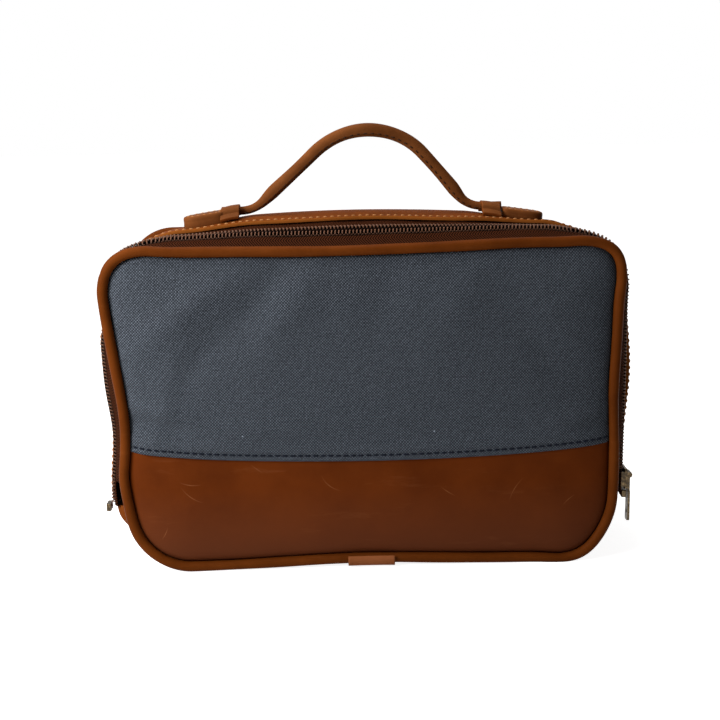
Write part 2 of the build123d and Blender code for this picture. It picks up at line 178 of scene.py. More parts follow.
knots = seam_knots()
seam_length = knots[0][-1]
left_base, left_foot, left_crest = knots[0][1], knots[0][2], knots[0][4]
right_crest, right_foot, right_base = knots[0][5], knots[0][7], knots[0][8]


def outside(s, n):
    """x and z of a point that lies n outside the seam at the length s along it."""
    lengths, centre_x, centre_z, radius, outward = knots
    turn = np.interp(s, lengths, outward)
    reach = np.interp(s, lengths, radius) + n
    return (np.interp(s, lengths, centre_x) + reach * np.cos(turn),
            np.interp(s, lengths, centre_z) + reach * np.sin(turn))


def settle(points):
    """Moves points as the worn bag has settled.

    The left side is drawn in at its waist and foot and pushed out at its shoulder, and the wall
    swells beside the zip on the left and behind it on the right. The front's lower seam lifts
    between its corners, the crest of the wall rises in its middle, and three corners of the
    front move in or out. Each move is an amount times bell and S curves, and those on the right
    fade towards the slider's rest.
    """
    x, y, z = points[..., 0], points[..., 1], points[..., 2]
    left, right = smooth(-x, 0.04, half_width), smooth(x, 0.04, half_width)
    near_front = smooth(-y, 0.0, -front)
    at_seam = 1 - smooth(y, front + 0.002, front + 0.008)
    before_back = 1 - smooth(y, 0.0, back - 0.003)
    beside_zip = smooth(y, front + 0.0025, -0.030) * before_back
    behind_zip = smooth(y, zip_line + 0.005, -0.014) * before_back

    left_waist = 0.0042 * hump(z, 0.077, 0.030)
    left_shoulder = (0.0006 + 0.0014 * at_seam) * hump(z, 0.140, 0.020)
    left_swell = 0.0022 * hump(z, 0.092, 0.020) * beside_zip
    seam_draw = at_seam * (1 - smooth(z, 0.026, 0.056))
    wall_draw = (1 - at_seam) * (1 - smooth(z, 0.014, 0.030))
    shift_x = left * (left_waist - left_shoulder - left_swell + 0.0044 * (seam_draw + wall_draw))
    right_waist = 0.0012 * hump(z, 0.090, 0.024) * at_seam
    right_swell = 0.0036 * hump(z, 0.094, 0.030) * behind_zip
    shift_x += right * (right_swell - right_waist)

    shift_z = 0.0023 * hump(x, -0.004, 0.050) * near_front * smooth(0.040 - z, 0.0, 0.040)
    on_crest = smooth(z, seam_top, seam_top + 0.004) * smooth(y, front + 0.004, zip_line + 0.004)
    shift_z += 0.0027 * hump(x, -0.004, 0.066) * on_crest
    top_seam = 0.0012 * hump(x, 0.082, 0.030) - 0.0010 * hump(x, -0.018, 0.045)
    shift_z += top_seam * near_front * smooth(z, 0.120, seam_top)

    for at_x, at_z, reach, move_x, move_z in (
            (0.1165, 0.0120, 0.0180, -0.0024, -0.0042),
            (-0.1190, 0.1585, 0.0160, -0.0026, 0.0026),
            (0.1190, 0.1585, 0.0145, 0.0038, 0.0028)):
        corner = near_front * hump(x, at_x, reach) * hump(z, at_z, reach)
        shift_x += move_x * corner
        shift_z += move_z * corner
    moved = points + np.stack([shift_x, np.zeros_like(x), shift_z], axis=-1)
    moved[..., 2] = np.where(z >= 0, np.maximum(moved[..., 2], 0), moved[..., 2])
    return moved


def slack(s, y):
    """How much of the wall's fullness is left: it is drawn flat round the corners of the bag.

    Round each upper corner it loses shares between S curves along the seam, more towards the
    back, and at each lower corner a share by a bell curve.
    """
    towards_back = smooth(y, -0.026, 0.004)
    opening = smooth(s, left_crest - 0.013, left_crest + 0.010)
    closing = smooth(s, right_crest - 0.012, right_crest + 0.014)
    round_left = smooth(s, left_crest - 0.062, left_crest - 0.038) * (1 - opening)
    after_left = opening * (1 - smooth(s, left_crest + 0.008, left_crest + 0.050))
    before_right = smooth(s, right_crest - 0.050, right_crest - 0.012) * (1 - closing)
    round_right = closing * (1 - smooth(s, right_crest + 0.018, right_crest + 0.038))
    lost = (0.84 + 0.06 * towards_back) * round_left + (0.22 + 0.26 * towards_back) * after_left
    lost += (0.10 + 0.30 * towards_back) * before_right + (0.66 + 0.14 * towards_back) * round_right
    lost += 0.60 * (hump(s, left_foot - 0.019, 0.013) + hump(s, right_foot + 0.022, 0.013))
    return 1 - lost


def wall_height(s, y):
    """How far outside the seam the full wall's face lies.

    The wall is an arc over its width on the sides and the top. Round the lower corners it is
    flattened to the base by the squared cosine of the turn. Towards the back of the top it
    stands a little prouder.
    """
    turn = np.interp(s, knots[0], knots[4])
    dome = np.cos(np.clip(np.abs(turn + 3 * pi / 2) - pi / 2, 0, pi / 2)) ** 2
    arc = np.sqrt(wall_radius**2 - y**2) - (wall_radius - bulge)
    x, z = outside(s, 0)
    on_top = smooth(z, 0.155, 0.165) * (1 - smooth(np.abs(x), 0.03, 0.09))
    return arc * dome + piping_radius * (1 - dome) + 0.0010 * hump(y, 0.023, 0.012) * on_top


def on_wall(s, y, n, depth=0.0):
    """Points at the lengths s and the places y, n outside the seam, on the settled bag.

    A layer under the wall's face is sunk by its depth after the wall has been drawn in.
    """
    s, y, n = np.broadcast_arrays(s, y, n)
    x, z = outside(s, np.where(n > 0, n * slack(s, y), n) - depth)
    return settle(np.stack([x, y, z], axis=-1))


def wall_line(s, y, n):
    """A line at one y and one n along the wall, and the step outward from each of its points."""
    y, n = np.broadcast_to(y, s.shape), np.broadcast_to(n, s.shape)
    line = on_wall(s, y, n)
    return line, on_wall(s, y, n + 0.001) - line


# Meshes


def make_piece(name, points, faces, finishes, uvs=None):
    """Makes a mesh object from arrays of points and faces, shaded smooth."""
    mesh = bpy.data.meshes.new(name)
    mesh.from_pydata(points.tolist(), [], faces)
    mesh.polygons.foreach_set("use_smooth", np.ones(len(mesh.polygons), dtype=bool))
    if uvs is not None:
        layer = mesh.uv_layers.new(name="UVMap")
        layer.data.foreach_set("uv", np.asarray(uvs, dtype=np.float32).ravel())
    for finish in finishes:
        mesh.materials.append(finish)
    mesh.update()
    piece = bpy.data.objects.new(name, mesh)
    bpy.context.scene.collection.objects.link(piece)
    return piece


def skin(name, points, finishes, across, along, closed=(False, False), caps=False):
    """Joins a grid of points with quads: rows are across the piece and columns run along it.

    A face points to the side of column direction times row direction. The UV map holds the
    real lengths, with columns as u and rows as v. With caps, the open ends of a tube are closed.
    """
    rows, columns = points.shape[:2]
    down = np.arange(rows if closed[0] else rows - 1)[:, None]
    over = np.arange(columns if closed[1] else columns - 1)[None, :]
    corners = [(down, over), (down, over + 1), (down + 1, over + 1), (down + 1, over)]
    index = np.stack([np.broadcast_to((i % rows) * columns + j % columns, (down.size, over.size))
                      for i, j in corners], axis=-1)
    uvs = np.stack([np.stack(np.broadcast_arrays(along[j], across[i]), axis=-1) for i, j in corners], axis=2)
    faces, uvs = index.reshape(-1, 4).tolist(), uvs.reshape(-1, 2)
    if caps:
        first = np.arange(rows) * columns
        faces += [first.tolist(), (first[::-1] + columns - 1).tolist()]
        uvs = np.concatenate([uvs, np.zeros((2 * rows, 2))])
    return make_piece(name, points.reshape(-1, 3), faces, finishes, uvs)


def thicken(piece, thickness, rim_finish=0, soften=0.0):
    """Gives a skin its thickness on its inner side, and a softened rim where asked."""
    wall = piece.modifiers.new("thickness", "SOLIDIFY")
    wall.thickness = thickness
    wall.offset = -1
    wall.material_offset_rim = rim_finish
    wall.use_quality_normals = True
    if soften:
        edge = piece.modifiers.new("edges", "BEVEL")
        edge.width = soften
        edge.segments = 2
        edge.limit_method = "ANGLE"
        edge.angle_limit = radians(60)
    return piece


def tube(name, middles, out, radii, finishes, around, closed=False, start=0.0, dent=None):
    """Carries an oval section along a line of middles.

    A point is the middle, plus the first radius times the cosine of the angle along out, plus
    the second times its sine along y. The angle begins at start, where the seam of a rolled
    piece lies, and dent(angle from there) scales both radii.
    """
    angle = start + np.linspace(0, 2 * pi, around, endpoint=False)[:, None, None]
    scale = np.ones_like(angle) if dent is None else dent(angle - start)
    first, second = (np.broadcast_to(radius, len(middles))[None, :, None] for radius in radii)
    sideways = np.array([0.0, 1.0, 0.0])
    points = middles + scale * (np.cos(angle) * out * first + np.sin(angle) * sideways * second)
    along = running_length(middles)
    if closed:
        along = np.append(along, along[-1] + np.linalg.norm(middles[-1] - middles[0]))
    across = np.linspace(0, 2 * pi * first.mean(), around + 1)
    return skin(name, points, finishes, across, along, closed=(True, closed), caps=not closed)


def strew(name, shape, faces, places, frames, finishes):
    """Repeats one small shape: its x, y and z lie along the three rows of each place's frame."""
    points = places[:, None] + np.einsum("ka,mab->mkb", shape, frames)
    count = len(shape)
    every = [[corner + count * place for corner in face] for place in range(len(places)) for face in faces]
    return make_piece(name, points.reshape(-1, 3), every, finishes)


def bead(rings):
    """A closed six-sided bead from rings (x, z, half width, half height), with a cap at each end."""
    sides = 6
    turn = np.linspace(0, 2 * pi, sides, endpoint=False)
    shape = np.array([[x, wide * cos(a), z + high * sin(a)] for x, z, wide, high in rings for a in turn])
    faces = [[(ring + 1) * sides + k, (ring + 1) * sides + (k + 1) % sides, ring * sides + (k + 1) % sides,
              ring * sides + k] for ring in range(len(rings) - 1) for k in range(sides)]
    faces += [list(range(sides)), [len(rings) * sides - 1 - k for k in range(sides)]]
    return shape, faces


def frames_along(points, normals):
    """Frames whose x runs along a line of points, y across it and z along the normals."""
    ahead = unit(np.gradient(points, axis=0))
    across = unit(np.cross(normals, ahead))
    return np.stack([ahead, across, np.cross(ahead, across)], axis=1)


def stitches(name, points, normals, pitch, finish, share, radius):
    """Sews a row of stitches along a line: each is a bead that rises from the cloth and dips back."""
    reach = pitch * share / 2
    tip, shoulder = (-1.6 * radius, 0.5 * radius, 0.5 * radius), (-0.2 * radius, radius, radius)
    rings = [(-reach, *tip), (-0.72 * reach, *shoulder), (0, 0.25 * radius, radius, radius),
             (0.72 * reach, *shoulder), (reach, *tip)]
    steps = running_length(points)
    stops = np.arange(pitch / 2, steps[-1], pitch)
    at, up = (np.stack([np.interp(stops, steps, row) for row in given.T], axis=1)
              for given in (points, normals))
    shape, faces = bead(rings)
    return strew(name, shape, faces, at, frames_along(at, unit(up)), [finish])


# Finishes


def feed(tree, node, inputs):
    """Feeds a node's inputs with numbers or with other nodes' outputs."""
    for key, value in inputs.items():
        if isinstance(value, bpy.types.NodeSocket):
            tree.links.new(value, node.inputs[key])
        else:
            node.inputs[key].default_value = value


def put(tree, kind, inputs=None, **settings):
    """Adds a node, sets its properties and feeds its inputs."""
    made = tree.nodes.new(kind)
    for key, value in settings.items():
        setattr(made, key, value)
    feed(tree, made, inputs or {})
    return made


def calc(tree, operation, first, second=0.0, third=0.0, clamp=False):
    """One step of arithmetic."""
    inputs = {0: first, 1: second, 2: third}
    return put(tree, "ShaderNodeMath", inputs, operation=operation, use_clamp=clamp).outputs[0]


def shift(tree, operation, first, second):
    """One step of arithmetic on vectors: SCALE takes a number second, and DISTANCE gives one."""
    made = put(tree, "ShaderNodeVectorMath", {0: first, "Scale" if operation == "SCALE" else 1: second},
               operation=operation)
    return made.outputs["Value" if operation == "DISTANCE" else "Vector"]


def spread(tree, value, low, high, to_low=0.0, to_high=1.0):
    """Maps low and high to their new values, and holds these beyond them."""
    ends = {"Value": value, "From Min": low, "From Max": high, "To Min": to_low, "To Max": to_high}
    return put(tree, "ShaderNodeMapRange", ends).outputs[0]


def noise(tree, place, scale, detail, roughness=0.5, output="Fac"):
    """Soft noise at a place."""
    inputs = {"Vector": place, "Scale": scale, "Detail": detail, "Roughness": roughness}
    return put(tree, "ShaderNodeTexNoise", inputs).outputs[output]


def stretched(tree, place, scale, turn=(0.0, 0.0, 0.0), **settings):
    """A place turned and stretched."""
    inputs = {"Vector": place, "Rotation": turn, "Scale": scale}
    return put(tree, "ShaderNodeMapping", inputs, **settings).outputs[0]


def axis_of(tree, vector, axis):
    """One coordinate of a vector."""
    return put(tree, "ShaderNodeSeparateXYZ", {0: vector}).outputs[axis]


def blend_colour(tree, factor, first, second):
    """Mixes two colours, or the red, green and blue of two tones, by a factor."""
    first, second = ((*tone, 1.0) if isinstance(tone, tuple) else tone for tone in (first, second))
    return put(tree, "ShaderNodeMix", {0: factor, 6: first, 7: second}, data_type="RGBA").outputs[2]


def new_group(name, vectors, numbers, results):
    """Starts a node group with named sockets, and returns its tree, its inputs and its output node."""
    tree = bpy.data.node_groups.new(name, "ShaderNodeTree")
    sockets = ((vectors, "INPUT", "Vector"), (numbers, "INPUT", "Float"), (results, "OUTPUT", "Float"))
    for labels, side, kind in sockets:
        for label in labels:
            tree.interface.new_socket(label, in_out=side, socket_type=f"NodeSocket{kind}")
    return tree, tree.nodes.new("NodeGroupInput").outputs, tree.nodes.new("NodeGroupOutput")


def make_hide():
    """Leather: cloudy mottle, fine pebble with pores, and a mask of rubbed places."""
    tree, given, result = new_group("hide", ["Vector"], ["Grain"], ["Mottle", "Height", "Rub"])
    place = given["Vector"]
    inputs = {"Vector": place, "Scale": given["Grain"]}
    cells = put(tree, "ShaderNodeTexVoronoi", inputs, feature="DISTANCE_TO_EDGE").outputs
    pebble = calc(tree, "SMOOTH_MIN", cells["Distance"], 0.22, 0.12)
    streaks = stretched(tree, place, (26.0, 26.0, 160.0), (0.2, 0.7, 0.35))
    feed(tree, result, {
        "Mottle": noise(tree, place, 34.0, 5.0, 0.62),
        "Height": calc(tree, "MULTIPLY_ADD", noise(tree, place, 420.0, 3.0, 0.7), 0.35, pebble),
        "Rub": spread(tree, noise(tree, streaks, 1.0, 4.0, 0.7), 0.60, 0.78)})
    return tree


def make_weave():
    """Plain weave: rounded threads that pass over and under, with slubs."""
    tree, given, result = new_group("weave", ["Vector"], ["Pitch"], ["Height", "Thread", "Slub"])
    drift = shift(tree, "SCALE", noise(tree, given["Vector"], 60.0, 2.0, output="Color"), 0.0009)
    place = shift(tree, "ADD", given["Vector"], drift)
    rate = calc(tree, "DIVIDE", pi, given["Pitch"])
    warp, weft = (calc(tree, "SINE", calc(tree, "MULTIPLY", axis_of(tree, place, axis), rate))
                  for axis in (0, 1))
    both = calc(tree, "MULTIPLY", warp, weft)
    height = calc(tree, "POWER", calc(tree, "ABSOLUTE", both), 0.6)
    over = calc(tree, "MULTIPLY_ADD", calc(tree, "SIGN", both), 0.5, 0.5)
    feed(tree, result, {
        "Height": height, "Thread": calc(tree, "MULTIPLY", over, height),
        "Slub": noise(tree, stretched(tree, given["Vector"], (90.0, 1500.0, 1.0)), 1.0, 3.0, 0.6)})
    return tree


def make_twill():
    """Herringbone twill: slanting ridges that turn back at every step across."""
    tree, given, result = new_group("twill", ["Vector"], ["Pitch"], ["Height", "Fuzz"])
    fold = calc(tree, "PINGPONG", axis_of(tree, given["Vector"], 1), 0.0065)
    slant = calc(tree, "MULTIPLY_ADD", fold, 0.7, axis_of(tree, given["Vector"], 0))
    wave = calc(tree, "SINE", calc(tree, "MULTIPLY", slant, calc(tree, "DIVIDE", pi, given["Pitch"])))
    fuzz = noise(tree, given["Vector"], 1400.0, 2.0)
    height = calc(tree, "MULTIPLY_ADD", fuzz, 0.4, calc(tree, "ABSOLUTE", wave))
    feed(tree, result, {"Height": height, "Fuzz": fuzz})
    return tree


def make_scratch():
    """A hairline scratch: 1 along a short arc round a centre in the X-Z plane, and 0 elsewhere."""
    tree, given, result = new_group("scratch", ["Vector", "Centre", "Middle"], ["Radius", "Reach"], ["Mask"])
    flat = shift(tree, "MULTIPLY", given["Vector"], (1.0, 0.0, 1.0))
    away = shift(tree, "DISTANCE", flat, given["Centre"])
    off = calc(tree, "ABSOLUTE", calc(tree, "SUBTRACT", away, given["Radius"]))
    end = shift(tree, "DISTANCE", flat, given["Middle"])
    fade = calc(tree, "SUBTRACT", 1.0, calc(tree, "DIVIDE", end, given["Reach"]), clamp=True)
    feed(tree, result, {"Mask": calc(tree, "MULTIPLY", spread(tree, off, 0.00030, 0.00008), fade)})
    return tree


hide, weave, twill, scratch = make_hide(), make_weave(), make_twill(), make_scratch()


def start_finish(name, coordinates="Object"):
    """A new material with its tree, its surface shader and a place on the piece."""
    finish = bpy.data.materials.new(name)
    finish.use_nodes = True
    tree = finish.node_tree
    return finish, tree, tree.nodes["Principled BSDF"], put(tree, "ShaderNodeTexCoord").outputs[coordinates]


def use(tree, group, inputs):
    """Adds a node group to a material and returns its outputs."""
    return put(tree, "ShaderNodeGroup", inputs, node_tree=group).outputs


def raised(tree, height, strength, distance):
    """The normal of a bump with the given height."""
    inputs = {"Height": height, "Strength": strength, "Distance": distance}
    return put(tree, "ShaderNodeBump", inputs).outputs[0]


def leather_finish(name, dark, light, rubbed, roughness=0.46, grain=900.0, depth=0.00012, marks=(),
                   bottom_sheen_tone=None, shine=0.012):
    """Waxed leather: mottled between two tones, paler where rubbed, with optional scratches and a
    painted purplish sheen towards the bottom of the bag."""
    finish, tree, shader, place = start_finish(name)
    grained = use(tree, hide, {"Vector": place, "Grain": grain})
    mottle = spread(tree, grained["Mottle"], 0.32, 0.68)
    tone = blend_colour(tree, mottle, dark, light)
    if bottom_sheen_tone:
        # Painted sheen: towards the bottom of the bag the tone is blended into a paler, purplish one.
        low = spread(tree, axis_of(tree, place, 2), 0.046, 0.012)
        tone = blend_colour(tree, calc(tree, "MULTIPLY", low, 0.75), tone, bottom_sheen_tone)
    rub = calc(tree, "MULTIPLY", grained["Rub"], 0.16)
    for centre, radius, middle, reach in marks:
        line = use(tree, scratch, {
            "Vector": place, "Centre": centre, "Radius": radius, "Middle": middle, "Reach": reach})
        rub = calc(tree, "MAXIMUM", rub, calc(tree, "MULTIPLY", line["Mask"], 0.5))
    gloss = calc(tree, "MULTIPLY_ADD", mottle, 0.12, roughness - 0.06)
    feed(tree, shader, {
        "Base Color": blend_colour(tree, rub, tone, rubbed),
        "Roughness": calc(tree, "MULTIPLY_ADD", rub, 0.15, gloss),
        "Specular IOR Level": shine, "Normal": raised(tree, grained["Height"], 0.55, depth)})
    return finish


def cloth_finish(name, dark, light, pitch, depth, upright=False):
    """Plain-woven cloth: two thread tones, slubs along the weft, cloudy wear, lint and a matt face.

    The weave lies on the UV map, or straight up and down on the object's x and z.
    """
    finish, tree, shader, place = start_finish(name, "Object" if upright else "UV")
    if upright:
        inputs = {0: axis_of(tree, place, 0), 1: axis_of(tree, place, 2)}
        place = put(tree, "ShaderNodeCombineXYZ", inputs).outputs[0]
    cloth = use(tree, weave, {"Vector": place, "Pitch": pitch})
    tone = blend_colour(tree, cloth["Thread"], dark, light)
    slub = calc(tree, "MULTIPLY", spread(tree, cloth["Slub"], 0.35, 0.7), 0.10)
    shade = blend_colour(tree, slub, tone, light)
    slant = stretched(tree, place, (0.0075, 0.0016, 1.0), (0.0, 0.0, radians(62)), vector_type="TEXTURE")
    patch = spread(tree, noise(tree, slant, 1.0, 5.0, 0.68), 0.32, 0.68, 0.85, 1.15)
    uneven = spread(tree, noise(tree, place, 1000.0, 1.0), 0.3, 0.7, 0.68, 1.32)
    lit = shift(tree, "SCALE", shade, calc(tree, "MULTIPLY", patch, uneven))
    flecks = put(tree, "ShaderNodeTexVoronoi", {"Vector": place, "Scale": 240.0, "Randomness": 1.0}).outputs
    chance = put(tree, "ShaderNodeSeparateColor", {0: flecks["Color"]}).outputs[0]
    rare = calc(tree, "GREATER_THAN", chance, 0.992)
    fleck = calc(tree, "MULTIPLY", calc(tree, "LESS_THAN", flecks["Distance"], 0.11), rare)
    lint = tuple(min(1.0, 3.2 * part) for part in light)
    feed(tree, shader, {
        "Base Color": blend_colour(tree, calc(tree, "MULTIPLY", fleck, 0.5), lit, lint),
        "Roughness": calc(tree, "MULTIPLY_ADD", cloth["Height"], -0.1, 0.92),
        "Specular IOR Level": 0.02, "Normal": raised(tree, cloth["Height"], 0.8, depth)})
    return finish


def tape_finish(name, dark, light):
    """Herringbone zip tape, with painted shadow that makes it nearly black under the coil."""
    finish, tree, shader, place = start_finish(name, "UV")
    cloth = use(tree, twill, {"Vector": place, "Pitch": 0.0013})
    ridge = calc(tree, "POWER", calc(tree, "MULTIPLY", cloth["Height"], 0.8, clamp=True), 2.6)
    # Painted shadow: the tape takes its dark tone where it lies under the coil.
    coil_shadow_mask = spread(tree, axis_of(tree, place, 1), 0.0046, 0.0036)
    feed(tree, shader, {
        "Base Color": blend_colour(tree, coil_shadow_mask, blend_colour(tree, ridge, dark, light), dark),
        "Roughness": calc(tree, "MULTIPLY_ADD", cloth["Fuzz"], 0.2, 0.68),
        "Specular IOR Level": 0.01, "Normal": raised(tree, cloth["Height"], 0.9, 0.00030)})
    return finish


def thread_finish(name, dark, light, roughness=0.6, shine=0.05):
    """Thread or nylon: two tones in short streaks."""
    finish, tree, shader, place = start_finish(name)
    ply = noise(tree, place, 900.0, 2.0)
    feed(tree, shader, {
        "Base Color": blend_colour(tree, ply, dark, light),
        "Roughness": calc(tree, "MULTIPLY_ADD", ply, 0.2, roughness - 0.1),
        "Specular IOR Level": shine, "Normal": raised(tree, ply, 0.4, 0.0001)})
    return finish


def metal_finish(name, dark, light):
    """Darkened brass: worn bright in fine patches."""
    finish, tree, shader, place = start_finish(name)
    wear = noise(tree, place, 700.0, 4.0, 0.65)
    worn = spread(tree, wear, 0.42, 0.66)
    feed(tree, shader, {
        "Base Color": blend_colour(tree, worn, dark, light), "Metallic": 1.0,
        "Roughness": calc(tree, "MULTIPLY_ADD", worn, -0.12, 0.38),
        "Normal": raised(tree, wear, 0.2, 0.0001)})
    return finish


# Each scratch on the apron: the centre and the radius of its arc, then its middle and its reach
apron_marks = [
    ((-0.0880, 0.0, 0.0640), 0.0160, (-0.0900, 0.0, 0.0480), 0.0060),
    ((-0.0790, 0.0, 0.0560), 0.0180, (-0.0900, 0.0, 0.0415), 0.0075),
    ((-0.0115, 0.0, 0.0560), 0.0130, (-0.0200, 0.0, 0.0460), 0.0070),
    ((0.0950, 0.0, 0.0300), 0.0240, (0.0740, 0.0, 0.0420), 0.0075),
    ((0.1150, 0.0, 0.0200), 0.0200, (0.1020, 0.0, 0.0350), 0.0045),
    ((-0.1200, 0.0, 0.0300), 0.0180, (-0.1040, 0.0, 0.0220), 0.0040),
    ((-0.0300, 0.0, 0.0900), 0.0430, (-0.0560, 0.0, 0.0560), 0.0040),
    ((0.0600, 0.0, 0.0700), 0.0350, (0.0400, 0.0, 0.0410), 0.0050),
]
# The apron's last tone is a painted purplish sheen towards the bottom of the bag.
apron_leather = leather_finish(
    "apron_leather", (0.076, 0.0150, 0.0022), (0.104, 0.0215, 0.0032), (0.24, 0.090, 0.035), roughness=0.42,
    grain=760.0, depth=0.00006, marks=apron_marks, bottom_sheen_tone=(0.094, 0.0270, 0.0110))
piping_leather = leather_finish(
    "piping_leather", (0.074, 0.0170, 0.0022), (0.112, 0.0270, 0.0038), (0.22, 0.070, 0.020), depth=0.00009)
band_leather = leather_finish(
    "band_leather", (0.098, 0.0240, 0.0042), (0.150, 0.0375, 0.0066), (0.25, 0.082, 0.022), shine=0.001)
handle_leather = leather_finish(
    "handle_leather", (0.088, 0.0270, 0.0070), (0.165, 0.0530, 0.0140), (0.26, 0.10, 0.034), roughness=0.52,
    grain=620.0, depth=0.00022)
wrap_leather = leather_finish("wrap_leather", (0.19, 0.060, 0.020), (0.24, 0.078, 0.028), (0.32, 0.13, 0.055))
cut_edge = leather_finish(
    "cut_edge", (0.19, 0.056, 0.009), (0.28, 0.085, 0.015), (0.38, 0.14, 0.036), roughness=0.7, grain=1500.0,
    shine=0.001)
blue_canvas = cloth_finish(
    "blue_canvas", (0.022, 0.0255, 0.0315), (0.112, 0.1270, 0.152), 0.00072, 0.00022, upright=True)
lining_cloth = cloth_finish("lining_cloth", (0.040, 0.024, 0.015), (0.085, 0.052, 0.034), 0.00045, 0.00008)
zip_tape = tape_finish("zip_tape", (0.002, 0.0006, 0.0003), (0.060, 0.0175, 0.0066))
# Coil nylon: its dark brown is lightened to bronze, a painted highlight on the teeth.
coil_nylon_painted_highlight = thread_finish(
    "coil_nylon_painted_highlight", (0.055, 0.021, 0.011), (0.150, 0.068, 0.036), roughness=0.36, shine=0.10)
# A near-black cord in the coil: its colour is painted shade between the coil's turns.
coil_shade_cord = thread_finish(
    "coil_shade_cord", (0.002, 0.0008, 0.0006), (0.005, 0.0020, 0.0014), roughness=0.8, shine=0.01)
navy_thread = thread_finish("navy_thread", (0.003, 0.004, 0.007), (0.009, 0.012, 0.020))
tan_thread = thread_finish("tan_thread", (0.24, 0.095, 0.030), (0.42, 0.20, 0.075))
brown_thread = thread_finish("brown_thread", (0.020, 0.008, 0.0035), (0.050, 0.021, 0.010))
bronze_thread = thread_finish("bronze_thread", (0.030, 0.014, 0.009), (0.075, 0.036, 0.022))
dark_brass = metal_finish("dark_brass", (0.040, 0.030, 0.020), (0.13, 0.090, 0.048))


# Panels


def outline_inset(x, z):
    """How far a point lies inside the seam, by the distance to a rectangle with round corners."""
    middle = (seam_top + seam_bottom) / 2
    corner = np.where(z > middle, top_corner, bottom_corner)
    reach_x = np.abs(x) - (half_width - corner)
    reach_z = np.abs(z - middle) - ((seam_top - seam_bottom) / 2 - corner)
    beyond = np.hypot(np.maximum(reach_x, 0), np.maximum(reach_z, 0))
    return corner - beyond - np.minimum(np.maximum(reach_x, reach_z), 0)


def panel_half_width(z, inset):
    """Half the panel's width at a height: the side, drawn in round the corners by their circles."""
    low, high = seam_bottom + bottom_corner, seam_top - top_corner
    upper = np.sqrt(np.maximum((top_corner - inset) ** 2 - np.maximum(z - high, 0) ** 2, 0))
    lower = np.sqrt(np.maximum((bottom_corner - inset) ** 2 - np.maximum(low - z, 0) ** 2, 0))
    at_top = half_width - top_corner + upper
    at_bottom = half_width - bottom_corner + lower
    return np.where(z > high, at_top, np.where(z < low, at_bottom, half_width - inset))


def puckers(x, z):
    """Soft folds in the cloth: each is a bell curve across a slanting line and a long one along it.

    A fold has its middle's x and z, its lean in degrees, its width, its length and its height.
    """
    total = np.zeros_like(x)
    for at_x, at_z, lean, width, length, height in (
            (-0.092, 0.134, 38, 0.0075, 0.034, 0.00085), (-0.076, 0.120, 44, 0.0080, 0.040, -0.00070),
            (-0.104, 0.090, 68, 0.0065, 0.030, 0.00060), (-0.108, 0.079, -12, 0.0040, 0.014, -0.00110),
            (-0.104, 0.085, -18, 0.0050, 0.018, 0.00080), (-0.035, 0.140, 62, 0.0100, 0.030, 0.00050),
            (-0.052, 0.140, 60, 0.0080, 0.030, -0.00045), (0.010, 0.145, 75, 0.0100, 0.022, -0.00045),
            (0.046, 0.138, 60, 0.0110, 0.030, 0.00045), (0.085, 0.120, -50, 0.0100, 0.032, -0.00050),
            (0.105, 0.078, 14, 0.0050, 0.020, 0.00060), (0.060, 0.100, -20, 0.0140, 0.045, 0.00040),
            (-0.060, 0.075, 10, 0.0090, 0.040, 0.00045), (0.0, 0.070, 3, 0.0080, 0.070, -0.00035)):
        turn = radians(lean)
        along = (x - at_x) * cos(turn) + (z - at_z) * sin(turn)
        across = -(x - at_x) * sin(turn) + (z - at_z) * cos(turn)
        total += pucker_gain * height * hump(across, 0, width) * hump(along, 0, length)
    return total


def panel_crown(x, z, fullness):
    """How far the panel stands out of its seam: it rises from the groove by a falling exponential."""
    inset = outline_inset(x, z)
    sunk = groove_depth * np.exp(-np.maximum(inset - panel_inset, 0) / 0.0016)
    return fullness * (1 - np.exp(-np.maximum(inset - groove, 0) / crown_reach)) - sunk


def hem_line(x):
    """Height of the canvas hem: it sags towards the middle by the square of x, with a slight tilt."""
    share = x / 0.120
    return hem_level - 0.0006 + hem_rise * share**2 - 0.0006 * share


def panel_grid(low, high, rows, columns, side, inset=panel_inset, hem_edge=None):
    """A grid of x and z in rows, each stretched to the panel's width there.

    The rows near the edge that lies on the hem, the first or the last, follow the hem's line,
    and the others fade to level by a square.
    """
    share = np.linspace(0, 1, rows)
    heights = low + (high - low) * share
    x = -side * panel_half_width(heights, inset)[:, None] * np.linspace(-1, 1, columns)[None, :]
    fade = {None: 0 * share, "first": 1 - share, "last": share}[hem_edge][:, None] ** 2
    return x, heights[:, None] + (hem_line(x) - hem_level) * fade


def panel_skin(name, x, z, out, side, finish):
    """Places a panel's face: y is the seam's, moved out of it by out, on the settled bag."""
    points = settle(np.stack([x, side * (back + out), z], axis=-1))
    return skin(name, points, [finish], z[:, z.shape[1] // 2], np.linspace(0, 2 * half_width, x.shape[1]))


